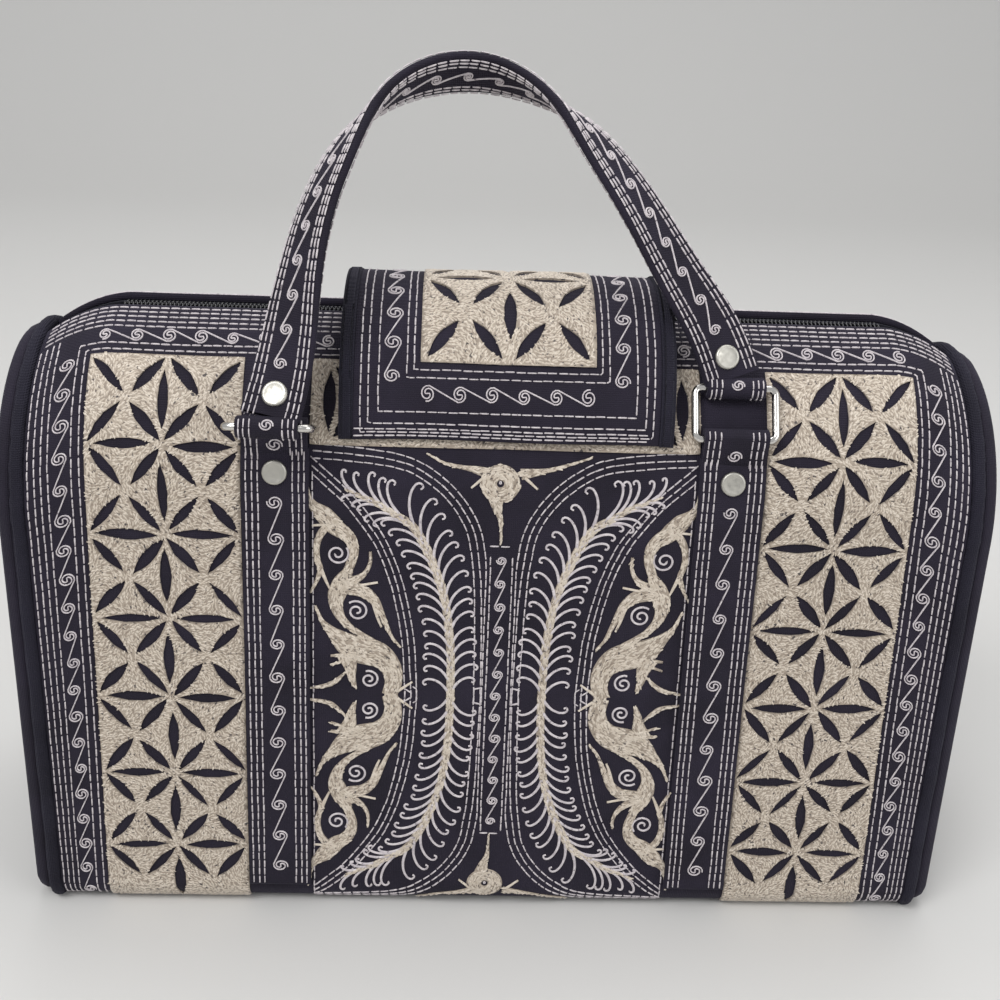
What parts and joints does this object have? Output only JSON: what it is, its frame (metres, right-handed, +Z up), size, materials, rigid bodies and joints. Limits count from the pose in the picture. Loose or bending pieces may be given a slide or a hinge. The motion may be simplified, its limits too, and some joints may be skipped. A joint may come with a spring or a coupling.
{
  "type": "embroidered zipped handbag",
  "caption": "Soft barrel-shaped zipped handbag with embroidered panels, a short closing flap over the zip and two carrying handles on metal rings.",
  "frame": {"origin": "middle of the base, on the surface that the bag stands on", "axes": "+X along the bag to its right end as seen from the front, +Y towards the back, +Z up"},
  "size_m": [0.383, 0.1704, 0.3441],
  "materials": {
    "navy_cloth": "quilted woven cotton, matte",
    "binding": "plain woven binding, matte",
    "cream_embroidery": "dense thread embroidery",
    "zip_tape": "woven tape, matte",
    "zip_teeth": "moulded",
    "nickel": "polished nickel plate",
    "rivet": "satin nickel",
    "board": "plain sheet"
  },
  "bodies": {
    "bag": {"front_panel": "navy_cloth", "back_panel": "navy_cloth", "bottom_panel": "navy_cloth", "right_end_panel": "navy_cloth", "left_end_panel": "navy_cloth", "flap": "navy_cloth", "front_left_band": "navy_cloth", "front_right_band": "navy_cloth", "back_left_band": "navy_cloth", "back_right_band": "navy_cloth", "right_binding": "binding", "left_binding": "binding", "flap_left_binding": "binding", "flap_right_binding": "binding", "front_lattice": "cream_embroidery", "back_lattice": "cream_embroidery", "flap_lattice": "cream_embroidery", "zip_tape_front": "zip_tape", "zip_tape_back": "zip_tape", "zip_teeth_front": "zip_teeth", "zip_teeth_back": "zip_teeth", "snap_socket": "nickel", "snap_stud": "nickel", "front_tab_rivets": "rivet", "back_tab_rivets": "rivet", "base_board": "board"},
    "front_handle_set": {"front_handle": "navy_cloth", "front_handle_rivets": "rivet", "front_rings": "nickel"},
    "back_handle_set": {"back_handle": "navy_cloth", "back_handle_rivets": "rivet", "back_rings": "nickel"},
    "right_slider": {"right_slider": "nickel"},
    "left_slider": {"left_slider": "nickel"},
    "right_pull": {"right_pull": "nickel"},
    "left_pull": {"left_pull": "nickel"}
  },
  "joints": [
    {"name": "front_handle_swing", "type": "hinge", "parent": "bag", "child": "front_handle_set", "pos_m": [0, -0.05405, 0.213], "axis": [1, 0, 0], "range_deg": [0, 60]},
    {"name": "back_handle_swing", "type": "hinge", "parent": "bag", "child": "back_handle_set", "pos_m": [0, 0.05405, 0.213], "axis": [1, 0, 0], "range_deg": [0, 165]},
    {"name": "right_slider_slide", "type": "slide", "parent": "bag", "child": "right_slider", "axis": [1, 0, 0], "range_m": [0, 0.135]},
    {"name": "left_slider_slide", "type": "slide", "parent": "bag", "child": "left_slider", "axis": [-1, 0, 0], "range_m": [0, 0.135]},
    {"name": "right_pull_lift", "type": "hinge", "parent": "right_slider", "child": "right_pull", "pos_m": [0.006, 0, 0.24647], "axis": [0, -1, 0], "range_deg": [0, 16]},
    {"name": "left_pull_lift", "type": "hinge", "parent": "left_slider", "child": "left_pull", "pos_m": [-0.006, 0, 0.24647], "axis": [0, 1, 0], "range_deg": [0, 16]}
  ]
}
